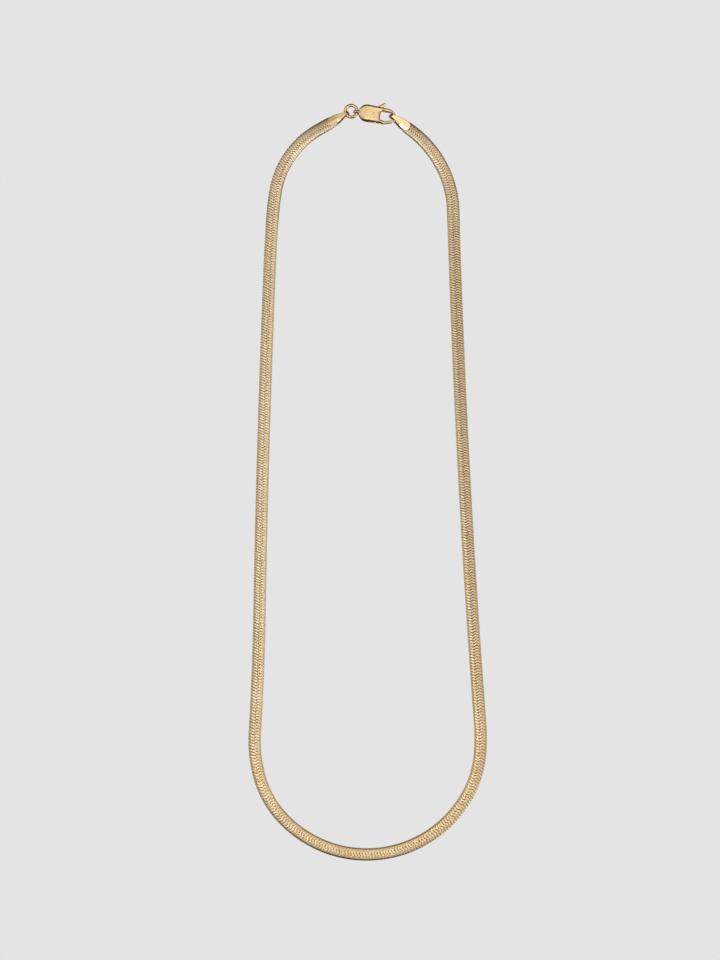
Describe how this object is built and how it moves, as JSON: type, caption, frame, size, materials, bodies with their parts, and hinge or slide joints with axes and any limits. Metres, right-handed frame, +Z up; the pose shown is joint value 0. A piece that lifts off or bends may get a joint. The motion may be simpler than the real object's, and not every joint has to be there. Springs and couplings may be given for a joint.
{
  "type": "herringbone chain necklace",
  "caption": "Flat herringbone chain necklace, fastened in a closed loop by a lever clasp and a jump ring and laid flat on a table.",
  "frame": {"origin": "middle of the fastened loop's box, on the table it lies on", "axes": "+Z up from the table, +Y along the loop's length towards its clasp, +X across the loop towards the hook's side"},
  "size_m": [0.0632, 0.2008, 0.0026],
  "materials": {
    "chain_gold": "polished yellow gold, woven wire rows",
    "tab_gold": "polished yellow gold sheet",
    "ring_gold": "polished yellow gold wire",
    "clasp_gold": "satin yellow gold with bright rims",
    "lever_gold": "polished yellow gold"
  },
  "bodies": {
    "necklace": {"herringbone_band": "chain_gold", "end_tab_left": "tab_gold", "end_tab_right": "tab_gold", "jump_ring": "ring_gold", "clasp_body": "clasp_gold", "lever_pin": "lever_gold"},
    "lever": {"clasp_lever": "lever_gold"}
  },
  "joints": [
    {"name": "lever_hinge", "type": "hinge", "parent": "necklace", "child": "lever", "pos_m": [0.00159, 0.09729, 0.0013], "axis": [0, 0, 1], "range_deg": [0, 10], "stiffness_Nm_per_rad": 0.0005}
  ]
}
